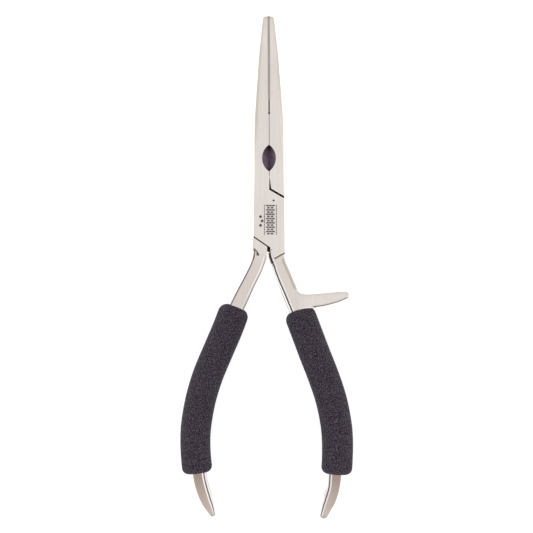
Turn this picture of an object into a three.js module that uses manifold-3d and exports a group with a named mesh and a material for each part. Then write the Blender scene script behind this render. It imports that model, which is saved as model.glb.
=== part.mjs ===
// Long-nose fishing pliers with a box joint, foam grips and a finger spur, jaws closed.
//
// Millimetres. +Z is the pivot axis, from the back face of the joint to its front face.
// +Y points to the jaw tips, and +X is to the right for someone who faces the front face.
// The origin is on the pivot axis, in the back face of the joint.
//
// box_half is the forging with the left jaw, the two cheeks and the right handle.
// tongue_half is the forging with the right jaw, the neck between the cheeks and the left handle.

import * as THREE from "three";
import { mergeVertices } from "three/addons/utils/BufferGeometryUtils.js";
import Module from "manifold-3d";

const wasm = await Module();
wasm.setup();

// ---------------------------------------------------------------- driving dimensions

const JOINT_THICK = 8.8; // from the back face of the joint to its front face
const CHEEK = 2.5; // thickness of each cheek
const SLOT_CLEARANCE = 0.3; // between the neck and each cheek
const HUB_RADIUS = 9.0; // round part of the neck, inside the slot
const HUB_CLEARANCE = 0.3;
const PIN_RADIUS = 2.5;
const PIN_CLEARANCE = 0.15;

const SEAM_TOP = [-0.2, 92.3]; // the line where the jaws meet
const SEAM_LOW = [0.16, 19.3];
const SEAM_GAP = 0.16;
const TEETH = 42;
const TEETH_LOW_Y = 53.7;
const TOOTH_HEIGHT = 0.9;
const RELIEF_WIDTH = 0.5; // open slit below the teeth
const RELIEF_LOW_Y = 47.8;
const RELIEF_HOLE_RADIUS = 0.5; // at the lower end of the slit

const CUTTER_MID = [-0.06, 27.3]; // centre of the almond-shaped opening for the cutters
const CUTTER_HALF_WIDTH = 3.15;
const CUTTER_HALF_LENGTH = 6.1;
const BLADE_GAP = 0.12; // between each blade and its jaw
const BLADE_ROOT_HALF = 3.6; // half thickness of a blade where it meets its jaw
const BLADE_EDGE_HALF = 0.3; // half thickness of its cutting edge
const BLADE_EDGE_GAP = 0.12; // between the two cutting edges

// Each cheek ends on two slanted edges. The forging below each one keeps clear of it.
const UPPER_CUT = [[0.0, 12.85], [6.47, 9.1]];
const UPPER_CUT_GAP = 0.8;
const LOWER_CUT = [[-6.47, -8.65], [0.9, -13.7]];
const LOWER_CUT_GAP = 0.45;

// Corners of the forgings round the joint, in the plane of the pliers.
const CHEEK_END = [[2, -18.1], [6.8, -15.3], [14, -11.2]]; // lower end of the cheeks
const LUG_END = [[-14, -10], [-6.8, -14], [-4.6, -16.6], [-1.2, -17.6]]; // lower end of the lug
// Inner side of the right arm, from the crotch down. The bar itself is narrower further down.
const RIGHT_CROTCH = [[0.75, -15.6], [-0.3, -16], [-0.2, -17.5], [-0.2, -18.5], [-1, -20]];
const LEFT_ARM_TOP = [[0, -20], [-1.2, -18.4]]; // the same on the left arm
const NECK_SIDE = 0.95; // left edge of the shoulder above the hub
const NECK_LEFT = 0.25; // left edge of the neck above the hub
const NECK_RIGHT = 0.6; // right edge of the neck below the hub
const NECK_TOP_Y = 17;
const NECK_LOW_Y = -15.3;
const SLOT_LOW_Y = -16;
const CROTCH_LEFT = -0.9; // right edge of the left arm's lug
const NOSE_LEAN = -0.3; // sideways lean of the nose at its tip

const GRIP_GAP = 0.25; // between the foam and the tang inside it
const GRIP_TOP_ROUND = 4.1;
const GRIP_LOW_ROUND = 3.1;
const SPUR_GRIP_GAP = 0.3;
const SPUR_FOOT = [[14.3, -41.95], [21, -41.05]]; // line of the spur's lower edge where it meets the grip

const MID_Z = JOINT_THICK / 2; // both forgings are symmetric about this plane
const SIDE = 14; // beyond the sides of the joint
const FAR = 200; // beyond the whole object

// ---------------------------------------------------------------- stations along each bar

// Nose and joint, from the tip down: y, half width, half thickness, width of the edge rounding.
const NOSE = [
  [92.35, 1.4, 1.6, 0.7],
  [92.1, 2, 1.95, 1],
  [91.3, 2.5, 2.2, 1.2],
  [86.5, 3.15, 2.4, 1.4],
  [77.2, 4.2, 2.75, 1.6],
  [66.3, 5.1, 3.15, 1.9],
  [55.3, 5.9, 3.6, 2.1],
  [44.2, 6.65, 4, 2.3],
  [36, 6.7, 4.3, 1.5],
  [29, 6.7, 4.4, 0.5],
  [20, 6.7, 4.4, 0.3],
  [9, 6.9, 4.4, 0.3],
  [-8, 7.1, 4.4, 0.3],
  [-14.5, 7.2, 4.4, 0.3],
  [-19.5, 6.9, 4.4, 0.3],
];

// Handles, from the joint down: x, y, half width, half thickness.
const LEFT_BAR = [
  [-3.6, -12.5, 3.2, 2.9],
  [-3.95, -15.8, 3.1, 2.7],
  [-4.45, -18.5, 3, 2.75],
  [-5.35, -21.2, 2.98, 2.95],
  [-6.5, -24, 3.05, 3.1],
  [-9.2, -29.4, 3.08, 3.15],
  [-11.9, -34.9, 3.3, 3],
  [-14.8, -41, 3.35, 2.8],
  [-18.8, -50.3, 3.3, 2.5],
  [-27.4, -72, 3.3, 2.5],
  [-32.5, -94.1, 3.3, 2.5],
  [-32.8, -105.3, 3.3, 2.5],
  [-31.6, -117, 3.25, 2.5],
  [-30.3, -123.3, 3.25, 2.4],
  [-28.4, -128.8, 3, 2.2],
  [-26.95, -132.2, 2.4, 2],
  [-25.85, -135.1, 1.5, 1.8],
];
const RIGHT_BAR = [
  [4.1, -12.5, 3, 2.9],
  [3.4, -15.8, 3.75, 2.7],
  [3.65, -18.5, 3.45, 2.7],
  [4.55, -21.2, 3.25, 2.9],
  [5.5, -24, 3.5, 2.95],
  [7.6, -29.4, 3.7, 2.95],
  [9.8, -34.9, 3.7, 2.92],
  [12.1, -41, 3.5, 2.9],
  [15.8, -50.6, 3.4, 2.5],
  [24.1, -72.5, 3.3, 2.5],
  [29.6, -94.3, 3.3, 2.5],
  [30.4, -105.3, 3.3, 2.5],
  [29.7, -117, 3.3, 2.5],
  [29.05, -123.3, 3.15, 2.4],
  [27.45, -128.8, 3.1, 2.2],
  [26.2, -131.9, 2.7, 2],
  [24.95, -135.5, 2.05, 1.8],
];
const BAR_STEPS = 3; // rings from one station to the next
const INNER_ROUND = 1.9; // rounding on the side that faces the other handle
const OUTER_ROUND = 0.8;
const TIP_STEPS = 3;
const TIP_TURN = 75; // degrees of rounding at the end of a tail

// Finger spur, from inside the arm to its tip: x, lower y, upper y, half thickness.
const SPUR = [
  [11.5, -40, -31.6, 2.88],
  [13.2, -41.6, -33.6, 2.88],
  [14.3, -41.9, -34.2, 2.88],
  [15.5, -41.7, -34.6, 2.87],
  [17.5, -41.4, -34.8, 2.82],
  [21, -41, -34.6, 2.7],
  [25.5, -40.35, -34.2, 2.5],
  [31.4, -38.8, -33.7, 2.2],
  [34.6, -37.45, -33.6, 2.1],
  [36.1, -36.7, -33.9, 1.9],
  [36.5, -36.2, -34.5, 1.5],
];
const SPUR_LOW_ROUND = 0.9;
const SPUR_TOP_ROUND = 0.5;
const EDGE_STEPS = 2; // flat strips in each rounded long edge
const EDGE_FALL = 0.5; // how far an edge rounding falls, as a share of its width
const EDGE_FALL_LIMIT = 0.7; // and at most, as a share of the half thickness
const EDGE_WIDTH_LIMIT = 0.62; // widest rounding, as a share of the half width

// Foam grips, from the top end down: x, y, radius.
const LEFT_GRIP = [
  [-15.2, -40.5, 7.07],
  [-18.9, -50.4, 7.07],
  [-23.6, -61.4, 7.07],
  [-28.1, -72.3, 7.07],
  [-31.35, -83.2, 7.02],
  [-33.3, -94.2, 6.99],
  [-33.75, -102.5, 6.92],
  [-33.35, -110.6, 6.92],
  [-32.6, -116.7, 7.02],
];
const RIGHT_GRIP = [
  [13.2, -41.85, 7.15],
  [16.45, -50.4, 7.15],
  [20.6, -61.4, 7.18],
  [24.85, -72.3, 7.2],
  [28.45, -83.2, 7.2],
  [30.65, -94.2, 7.2],
  [31.3, -102.5, 7.18],
  [31.2, -110.6, 7.12],
  [30.75, -117.2, 7.15],
];
const GRIP_STEPS = 2;
const GRIP_SIDES = 20;
const GRIP_END_STEPS = 3;
const ARC_STEPS = 14; // in each arc of the almond
const HUB_SIDES = 40;
const PIN_SIDES = 32;
const RELIEF_SIDES = 12;
const OVERSHOOT = 1; // how far a cutting solid passes each face

// ---------------------------------------------------------------- solids

function solidOf(geometry) {
  geometry.deleteAttribute("normal");
  geometry.deleteAttribute("uv");
  const merged = mergeVertices(geometry);
  const mesh = new wasm.Mesh({
    numProp: 3,
    vertProperties: new Float32Array(merged.attributes.position.array),
    triVerts: new Uint32Array(merged.index.array),
  });
  return new wasm.Manifold(mesh);
}

function meshOf(name, solid, look) {
  const { vertProperties, triVerts } = solid.getMesh();
  const geometry = new THREE.BufferGeometry();
  geometry.setAttribute("position", new THREE.BufferAttribute(vertProperties, 3));
  geometry.setIndex(new THREE.BufferAttribute(triVerts, 1));
  geometry.computeVertexNormals();
  const mesh = new THREE.Mesh(geometry, look);
  mesh.name = name;
  return mesh;
}

function shapeOf(points) {
  return new THREE.Shape(points.map(([x, y]) => new THREE.Vector2(x, y)));
}

// An outline in the plane of the pliers, as a solid from one height to another.
function prism(outline, low, high) {
  const settings = { depth: high - low, bevelEnabled: false, curveSegments: ARC_STEPS };
  const geometry = new THREE.ExtrudeGeometry(outline, settings);
  geometry.translate(0, 0, low);
  return solidOf(geometry);
}

function through(points) {
  return prism(shapeOf(points), -FAR, FAR);
}

function cylinder(radius, sides, low, high, [x, y] = [0, 0]) {
  const geometry = new THREE.CylinderGeometry(radius, radius, high - low, sides);
  geometry.rotateX(Math.PI / 2);
  geometry.translate(x, y, (low + high) / 2);
  return solidOf(geometry);
}

// A closed solid through rings of points, with a flat cap on each end ring.
function loft(rings) {
  const sides = rings[0].length;
  const last = rings.length - 1;
  const points = rings.flat();
  const triangles = [];
  for (let r = 0; r < last; r += 1) {
    for (let s = 0; s < sides; s += 1) {
      const a = r * sides + s;
      const b = r * sides + ((s + 1) % sides);
      triangles.push(a, b + sides, b, a, a + sides, b + sides);
    }
  }
  for (let s = 1; s < sides - 1; s += 1) {
    triangles.push(0, s, s + 1);
    triangles.push(last * sides, last * sides + s + 1, last * sides + s);
  }
  const geometry = new THREE.BufferGeometry().setFromPoints(points);
  geometry.setIndex(triangles);
  return solidOf(geometry);
}

// One rounded long edge of a bar, from its flat face down to its side wall.
function roundedEdge(edge, inward, halfThick, round) {
  const drop = Math.min(round * EDGE_FALL, halfThick * EDGE_FALL_LIMIT);
  const points = [];
  for (let k = 0; k <= EDGE_STEPS; k += 1) {
    const turn = (k / EDGE_STEPS) * (Math.PI / 2);
    const across = edge + inward * round * (1 - Math.sin(turn));
    points.push([across, halfThick - drop * (1 - Math.cos(turn))]);
  }
  return points;
}

// The cross-section of a bar, as [across, height] points round it, height 0 at mid-thickness.
function barSection(left, right, halfThick, leftRound, rightRound) {
  const rightTop = roundedEdge(right, -1, halfThick, rightRound);
  const leftTop = roundedEdge(left, 1, halfThick, leftRound);
  const flip = ([across, height]) => [across, -height];
  return [
    ...leftTop.slice().reverse(),
    ...rightTop,
    ...rightTop.map(flip).reverse(),
    ...leftTop.map(flip),
  ];
}

// The section placed at a point, square to a direction that lies in the plane of the pliers.
function placeSection(section, at, direction) {
  const acrossAxis = new THREE.Vector3(-direction.y, direction.x, 0);
  return section.map(([across, height]) => {
    const point = at.clone().addScaledVector(acrossAxis, across);
    point.z = MID_Z + height;
    return point;
  });
}

// A smooth path through stations, with sizes that change smoothly along it.
function smoothStations(stations, sizeOf) {
  const places = stations.map(([x, y]) => new THREE.Vector3(x, y, 0));
  const sizes = stations.map(sizeOf);
  return {
    spans: stations.length - 1,
    path: new THREE.CatmullRomCurve3(places),
    size: new THREE.CatmullRomCurve3(sizes, false, "catmullrom"),
  };
}

// One handle bar with its tang and tail. grow makes the hollow that the bar sits in.
function handleBar(stations, innerSide, grow = 0) {
  const sizeOf = ([, , halfWidth, halfThick]) => new THREE.Vector3(halfWidth, halfThick, 0);
  const { spans, path, size } = smoothStations(stations, sizeOf);
  const leftRound = innerSide < 0 ? INNER_ROUND : OUTER_ROUND;
  const rightRound = innerSide < 0 ? OUTER_ROUND : INNER_ROUND;
  const ring = (t, shrink, along) => {
    const { x: halfWidth, y: halfThick } = size.getPoint(t);
    const direction = path.getTangent(t);
    const half = halfWidth * shrink + grow;
    const limit = half * EDGE_WIDTH_LIMIT;
    const section = barSection(
      -half,
      half,
      (halfThick * (1 + shrink)) / 2 + grow,
      Math.min(leftRound, limit),
      Math.min(rightRound, limit),
    );
    return placeSection(section, path.getPoint(t).addScaledVector(direction, along), direction);
  };
  const rings = [];
  const count = spans * BAR_STEPS;
  for (let k = 0; k <= count; k += 1) {
    rings.push(ring(k / count, 1, 0));
  }
  const tipLength = size.getPoint(1).x;
  for (let k = 1; k <= TIP_STEPS; k += 1) {
    const turn = (k / TIP_STEPS) * THREE.MathUtils.degToRad(TIP_TURN);
    rings.push(ring(1, Math.cos(turn), tipLength * Math.sin(turn)));
  }
  return loft(rings);
}

// A round foam sleeve with rounded ends, before its bore is cut.
function sleeve(stations) {
  const sizeOf = ([, , radius]) => new THREE.Vector3(radius, 0, 0);
  const { spans, path, size } = smoothStations(stations, sizeOf);
  const length = path.getLength();
  const ringAt = (distance, inset) => {
    const t = path.getUtoTmapping(distance / length);
    const radius = size.getPoint(t).x - inset;
    const section = [];
    for (let s = 0; s < GRIP_SIDES; s += 1) {
      const turn = -(s / GRIP_SIDES) * 2 * Math.PI;
      section.push([radius * Math.cos(turn), radius * Math.sin(turn)]);
    }
    return placeSection(section, path.getPoint(t), path.getTangent(t));
  };
  const turns = [];
  for (let k = 0; k < GRIP_END_STEPS; k += 1) {
    turns.push((k / GRIP_END_STEPS) * (Math.PI / 2));
  }
  const fromEnd = (round, turn) => round * (1 - Math.cos(turn));
  const inset = (round, turn) => round * (1 - Math.sin(turn));
  const rings = turns.map((turn) => (
    ringAt(fromEnd(GRIP_TOP_ROUND, turn), inset(GRIP_TOP_ROUND, turn))
  ));
  const count = spans * GRIP_STEPS;
  const straightLength = length - GRIP_TOP_ROUND - GRIP_LOW_ROUND;
  for (let k = 0; k <= count; k += 1) {
    rings.push(ringAt(GRIP_TOP_ROUND + (k / count) * straightLength, 0));
  }
  for (const turn of turns.reverse()) {
    rings.push(ringAt(length - fromEnd(GRIP_LOW_ROUND, turn), inset(GRIP_LOW_ROUND, turn)));
  }
  return loft(rings);
}

// ---------------------------------------------------------------- outlines

function onLine([[x0, y0], [x1, y1]], x) {
  return [x, y0 + ((x - x0) * (y1 - y0)) / (x1 - x0)];
}

// A line moved away from the pivot axis.
function shiftLine([[x0, y0], [x1, y1]], distance) {
  const length = Math.hypot(x1 - x0, y1 - y0);
  let [nx, ny] = [(y1 - y0) / length, (x0 - x1) / length];
  if (nx * x0 + ny * y0 < 0) {
    [nx, ny] = [-nx, -ny];
  }
  return [[x0 + nx * distance, y0 + ny * distance], [x1 + nx * distance, y1 + ny * distance]];
}

function seamX(y) {
  const share = (y - SEAM_LOW[1]) / (SEAM_TOP[1] - SEAM_LOW[1]);
  return SEAM_LOW[0] + Math.max(0, share) * (SEAM_TOP[0] - SEAM_LOW[0]);
}

// Where one jaw ends at the seam, from the top down. side is -1 for the left jaw, +1 for the right.
function jawEdge(side) {
  const gap = (side * SEAM_GAP) / 2;
  const relief = (side * RELIEF_WIDTH) / 2;
  const pitch = (SEAM_TOP[1] + 1 - TEETH_LOW_Y) / TEETH;
  const edge = [[seamX(FAR), FAR]];
  for (let k = 2 * TEETH; k >= 0; k -= 1) {
    const y = TEETH_LOW_Y + (k * pitch) / 2;
    const tooth = (k % 2 === 0 ? -0.5 : 0.5) * TOOTH_HEIGHT;
    edge.push([seamX(y) + tooth + gap, y]);
  }
  edge.push([seamX(TEETH_LOW_Y) + relief, TEETH_LOW_Y - 0.1]);
  edge.push([seamX(RELIEF_LOW_Y) + relief, RELIEF_LOW_Y]);
  edge.push([seamX(RELIEF_LOW_Y) + gap, RELIEF_LOW_Y]);
  edge.push([SEAM_LOW[0] + gap, SEAM_LOW[1]]);
  return edge;
}

// The almond-shaped opening between the jaws, two arcs that meet in a point at each end.
function almond(inset) {
  const halfWidth = CUTTER_HALF_WIDTH - inset;
  const halfLength = CUTTER_HALF_LENGTH - 2 * inset;
  const radius = (halfLength ** 2 + halfWidth ** 2) / (2 * halfWidth);
  const reach = Math.asin(halfLength / radius);
  const offset = radius - halfWidth;
  const [x, y] = CUTTER_MID;
  const shape = new THREE.Shape();
  shape.absarc(x - offset, y, radius, -reach, reach, false);
  shape.absarc(x + offset, y, radius, Math.PI - reach, Math.PI + reach, false);
  return shape;
}

// ---------------------------------------------------------------- joint and jaws

const nose = loft(NOSE.map(([y, halfWidth, halfThick, round]) => {
  const share = THREE.MathUtils.clamp((y - SEAM_LOW[1]) / (SEAM_TOP[1] - SEAM_LOW[1]), 0, 1);
  const section = barSection(-halfWidth, halfWidth, halfThick, round, round);
  const at = new THREE.Vector3(NOSE_LEAN * share, y, 0);
  return placeSection(section, at, new THREE.Vector3(0, -1, 0));
}));

const cheekCorner = UPPER_CUT[0];
const crotchCorner = LOWER_CUT[1];
const shoulder = shiftLine(UPPER_CUT, UPPER_CUT_GAP);
const lugTop = shiftLine(LOWER_CUT, LOWER_CUT_GAP);

const boxOutline = through([
  [-FAR, FAR],
  [-FAR, onLine(LOWER_CUT, -SIDE)[1]],
  onLine(LOWER_CUT, -SIDE),
  crotchCorner,
  ...CHEEK_END,
  onLine(UPPER_CUT, SIDE),
  cheekCorner,
  ...jawEdge(-1).reverse(),
]);
const rightBarOutline = through([
  [crotchCorner[0], 0],
  crotchCorner,
  ...RIGHT_CROTCH,
  [RIGHT_CROTCH.at(-1)[0], -FAR],
  [FAR, -FAR],
  [FAR, 0],
]);
const upperTongueOutline = through([
  ...jawEdge(1),
  onLine(shoulder, NECK_SIDE),
  onLine(shoulder, SIDE),
  [FAR, onLine(shoulder, SIDE)[1]],
  [FAR, FAR],
]);
const lugOutline = through([
  onLine(lugTop, CROTCH_LEFT),
  onLine(lugTop, -SIDE),
  ...LUG_END,
  [CROTCH_LEFT, NECK_LOW_Y],
]);
const leftBarOutline = through([
  onLine(lugTop, CROTCH_LEFT),
  onLine(lugTop, -SIDE),
  [-FAR, onLine(lugTop, -SIDE)[1]],
  [-FAR, -FAR],
  [LEFT_ARM_TOP[0][0], -FAR],
  ...LEFT_ARM_TOP,
  [CROTCH_LEFT, NECK_LOW_Y],
]);

function rectangle(left, low, right, high) {
  return [[left, low], [right, low], [right, high], [left, high]];
}

function middleLayer(points, clearance) {
  return prism(shapeOf(points), CHEEK + clearance, JOINT_THICK - CHEEK - clearance);
}

const slotHigh = JOINT_THICK - CHEEK;
const slot = cylinder(HUB_RADIUS + HUB_CLEARANCE, HUB_SIDES, CHEEK, slotHigh)
  .add(middleLayer(rectangle(cheekCorner[0], 0, SIDE, SIDE), 0))
  .add(middleLayer(rectangle(-SIDE, SLOT_LOW_Y, crotchCorner[0], 0), 0));

const neckUpper = rectangle(NECK_LEFT, 0, SIDE, NECK_TOP_Y);
const neckLower = rectangle(-SIDE, NECK_LOW_Y, NECK_RIGHT, 0);
const neck = cylinder(HUB_RADIUS, HUB_SIDES, CHEEK + SLOT_CLEARANCE, slotHigh - SLOT_CLEARANCE)
  .add(middleLayer(neckUpper, SLOT_CLEARANCE))
  .add(middleLayer(neckLower, SLOT_CLEARANCE))
  .intersect(nose);

const pin = cylinder(PIN_RADIUS, PIN_SIDES, 0, JOINT_THICK);
const pinHole = cylinder(PIN_RADIUS + PIN_CLEARANCE, PIN_SIDES, -OVERSHOOT, JOINT_THICK + OVERSHOOT);
const cutterOpening = prism(almond(0), -OVERSHOOT, JOINT_THICK + OVERSHOOT);
const reliefHole = cylinder(
  RELIEF_HOLE_RADIUS,
  RELIEF_SIDES,
  -OVERSHOOT,
  JOINT_THICK + OVERSHOOT,
  [seamX(RELIEF_LOW_Y), RELIEF_LOW_Y],
);

// ---------------------------------------------------------------- handles and spur

const leftBar = handleBar(LEFT_BAR, 1);
const rightBar = handleBar(RIGHT_BAR, -1);
const spur = loft(SPUR.map(([x, low, high, halfThick]) => {
  const section = barSection(low, high, halfThick, SPUR_LOW_ROUND, SPUR_TOP_ROUND);
  return placeSection(section, new THREE.Vector3(x, 0, 0), new THREE.Vector3(1, 0, 0));
}));

// ---------------------------------------------------------------- the pieces

const boxHalf = nose
  .intersect(boxOutline)
  .subtract(slot)
  .add(rightBar.intersect(rightBarOutline))
  .add(spur)
  .subtract(pinHole)
  .subtract(cutterOpening)
  .subtract(reliefHole);

const tongueHalf = nose
  .intersect(upperTongueOutline)
  .add(neck)
  .add(nose.intersect(lugOutline))
  .add(leftBar.intersect(leftBarOutline))
  .subtract(pinHole)
  .subtract(cutterOpening)
  .subtract(reliefHole);

// A blade is a wedge that fills half of the almond and thins to its edge at the seam.
function blade(side) {
  const edgeX = seamX(CUTTER_MID[1]) + (side * BLADE_EDGE_GAP) / 2;
  const rootX = CUTTER_MID[0] + side * CUTTER_HALF_WIDTH;
  const profile = [
    [edgeX, -BLADE_EDGE_HALF],
    [edgeX, BLADE_EDGE_HALF],
    [rootX, BLADE_ROOT_HALF],
    [rootX, -BLADE_ROOT_HALF],
  ];
  const length = 4 * CUTTER_HALF_LENGTH;
  const settings = { depth: length, bevelEnabled: false };
  const geometry = new THREE.ExtrudeGeometry(shapeOf(profile), settings);
  geometry.rotateX(Math.PI / 2);
  geometry.translate(0, CUTTER_MID[1] + length / 2, MID_Z);
  return solidOf(geometry).intersect(prism(almond(BLADE_GAP), 0, JOINT_THICK));
}

const leftGrip = sleeve(LEFT_GRIP).subtract(handleBar(LEFT_BAR, 1, GRIP_GAP));
const gripTop = shiftLine(SPUR_FOOT, SPUR_GRIP_GAP);
const underSpur = through([
  onLine(gripTop, -FAR),
  [-FAR, -FAR],
  [FAR, -FAR],
  onLine(gripTop, FAR),
]);
const rightGrip = sleeve(RIGHT_GRIP)
  .subtract(handleBar(RIGHT_BAR, -1, GRIP_GAP))
  .intersect(underSpur);

const steel = { color: 0xd9d3cc, roughness: 0.36, metalness: 1 };
const pinSteel = { color: 0xd3cdc6, roughness: 0.3, metalness: 1 };
const hardSteel = { color: 0x4a414b, roughness: 0.45, metalness: 0.8 };
const foam = { color: 0x2b252d, roughness: 0.95, metalness: 0 };

const group = new THREE.Group();
group.add(
  meshOf("box_half", boxHalf, new THREE.MeshStandardMaterial(steel)),
  meshOf("tongue_half", tongueHalf, new THREE.MeshStandardMaterial(steel)),
  meshOf("pivot_pin", pin, new THREE.MeshStandardMaterial(pinSteel)),
  meshOf("left_cutter_blade", blade(-1), new THREE.MeshStandardMaterial(hardSteel)),
  meshOf("right_cutter_blade", blade(1), new THREE.MeshStandardMaterial(hardSteel)),
  meshOf("left_foam_grip", leftGrip, new THREE.MeshStandardMaterial(foam)),
  meshOf("right_foam_grip", rightGrip, new THREE.MeshStandardMaterial(foam)),
);

export default group;
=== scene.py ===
"""Long-nose fishing pliers: fine meshes, materials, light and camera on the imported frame.

Lengths in the tables below are millimetres, and MM turns them into Blender's metres.
"""

import math

import bmesh
import bpy
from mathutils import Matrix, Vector


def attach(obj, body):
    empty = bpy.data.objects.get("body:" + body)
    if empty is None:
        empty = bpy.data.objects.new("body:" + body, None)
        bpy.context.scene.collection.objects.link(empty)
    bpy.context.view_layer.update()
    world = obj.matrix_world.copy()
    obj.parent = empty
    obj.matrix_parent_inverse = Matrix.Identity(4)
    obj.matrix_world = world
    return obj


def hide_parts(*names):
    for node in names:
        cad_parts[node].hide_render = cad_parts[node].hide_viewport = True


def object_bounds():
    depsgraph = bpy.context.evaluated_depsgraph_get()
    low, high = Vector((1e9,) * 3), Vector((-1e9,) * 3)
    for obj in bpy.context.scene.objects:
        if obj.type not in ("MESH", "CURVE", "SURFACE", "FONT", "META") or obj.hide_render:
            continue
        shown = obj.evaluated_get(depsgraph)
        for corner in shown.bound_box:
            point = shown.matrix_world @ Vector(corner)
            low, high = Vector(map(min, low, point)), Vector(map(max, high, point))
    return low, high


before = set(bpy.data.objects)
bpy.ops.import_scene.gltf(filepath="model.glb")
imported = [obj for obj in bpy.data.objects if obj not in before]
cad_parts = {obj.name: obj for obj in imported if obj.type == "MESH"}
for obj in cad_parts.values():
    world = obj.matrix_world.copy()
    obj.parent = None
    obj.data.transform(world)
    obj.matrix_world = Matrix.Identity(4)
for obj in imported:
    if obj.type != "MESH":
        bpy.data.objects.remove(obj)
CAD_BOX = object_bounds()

MM = 0.001

# ---------------------------------------------------------------- sizes

# The outlines follow the CAD model's. Fits that don't show are closer here, and gaps that show
# are a few tenths of a millimetre wider.
JOINT_THICK = 8.8
CHEEK = 2.5  # thickness of each cheek
SLOT_CLEARANCE = 0.3  # between the neck and each cheek
HUB_RADIUS = 9.0  # round part of the neck, inside the slot
HUB_CLEARANCE = 0.3
PIN_RADIUS = 2.5
PIN_CLEARANCE = 0.02
PIN_EDGE = 0.03  # width of its softened edges

SEAM_TOP = (-0.2, 92.3)  # the line where the jaws meet
SEAM_LOW = (0.16, 19.3)
SEAM_FOOT = 0.5  # how far the opened seam runs on below it
SEAM_GAP = 0.03  # between the jaws, away from the faces
SEAM_GROOVE = 0.26  # at the faces below the teeth
TEETH_GROOVE = 0.4  # at the faces along the teeth
ROOT_NOTCH = 0.15  # extra depth of the tooth roots at the faces
SEAM_CORE = 0.8  # half thickness of the closed part of the seam
TEETH = 42
TEETH_LOW_Y = 53.7
TEETH_PAST_TIP = 1.0  # the row ends this far beyond the tip
TEETH_END_STEP = 0.1  # from the lowest tooth to the slit below it
TOOTH_HEIGHT = 0.9
RELIEF_WIDTH = 0.6  # open slit below the teeth
RELIEF_LOW_Y = 47.8
RELIEF_HOLE_RADIUS = 0.5  # at the lower end of the slit

CUTTER_MID = (-0.06, 27.3)  # centre of the almond-shaped opening for the cutters
CUTTER_HALF_WIDTH = 3.15
CUTTER_HALF_LENGTH = 6.1
BLADE_ROOT_HALF = 3.6  # half thickness of a blade where it meets its jaw
BLADE_EDGE_HALF = 0.3  # half thickness of its cutting edge
BLADE_EDGE_GAP = 0.004  # between the two cutting edges
BLADE_CLEARANCE = 0.02  # between each blade and its jaw
BLADE_HOLLOW = 0.85  # under 1 the bevels bulge, over 1 they are hollow
BLADE_REACH = 8.0  # half length of the uncut blade
BLADE_SPANS = 24
BEVEL_STEPS = 10

# Each cheek ends on two slanted edges. The forging below each one keeps clear of it.
UPPER_CUT = ((0.0, 12.85), (6.47, 9.1))
UPPER_CUT_GAP = 0.92
LOWER_CUT = ((-6.47, -8.65), (0.9, -13.7))
LOWER_CUT_GAP = 0.55

MID_Z = JOINT_THICK / 2  # both forgings are symmetric about this plane
SIDE = 14.0  # beyond the sides of the joint
FAR = 200.0  # beyond the whole object
UNDER, OVER = -20.0, 30.0  # beyond its back and front

# Corners of the forgings round the joint, in the plane of the pliers.
CHEEK_END = [(2.0, -18.0), (6.8, -15.2), (SIDE, -11.1)]  # lower end of the cheeks
LUG_END = [(-SIDE, -10.0), (-6.8, -14.0), (-4.6, -16.6), (-1.2, -17.6)]  # and of the lug
RIGHT_CROTCH = [(0.75, -15.6), (-0.3, -16.0), (-0.2, -17.5), (-0.2, -18.5), (-1.0, -20.0)]
LEFT_ARM_TOP = [(0.0, -20.0), (-1.2, -18.4)]
CROTCH_LEFT = -0.9  # right edge of the left arm's lug
LUG_LOW_Y = -15.3  # lower end of that edge
NECK_SIDE = 0.95  # left edge of the shoulder above the hub
NECK_TOP = [(0.18, 19.3), (0.11, 17.0), (0.03, 12.85)]  # left edge of the neck above the hub
NECK_RIGHT = 0.6  # right edge of the neck below the hub
NECK_FOOT = [(-SIDE, -15.3), (-0.7, -15.3), (0.1, -15.72), (NECK_RIGHT, -15.55)]
SLOT_LOW_Y = -16.0
NOSE_LEAN = -0.3  # sideways lean of the nose at its tip
NOSE_CURVED_SHARE = 0.55  # of the rows of NOSE, from the tip; the joint below them is straight
NOSE_PER_SPAN = 6

# Nose and joint, from the tip down: y, half width, half thickness, width of the edge rounding.
NOSE = [
    (92.35, 1.4, 1.6, 0.7),
    (92.1, 2.0, 1.95, 1.0),
    (91.3, 2.5, 2.2, 1.2),
    (86.5, 3.15, 2.4, 1.4),
    (77.2, 4.2, 2.75, 1.6),
    (66.3, 5.1, 3.15, 1.9),
    (55.3, 5.9, 3.6, 2.1),
    (44.2, 6.65, 4.0, 2.3),
    (36.0, 6.7, 4.3, 1.5),
    (29.0, 6.7, 4.4, 0.5),
    (20.0, 6.7, 4.4, 0.3),
    (9.0, 6.9, 4.4, 0.3),
    (-8.0, 7.1, 4.4, 0.3),
    (-14.5, 7.2, 4.4, 0.3),
    (-19.5, 6.9, 4.4, 0.3),
]
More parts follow.
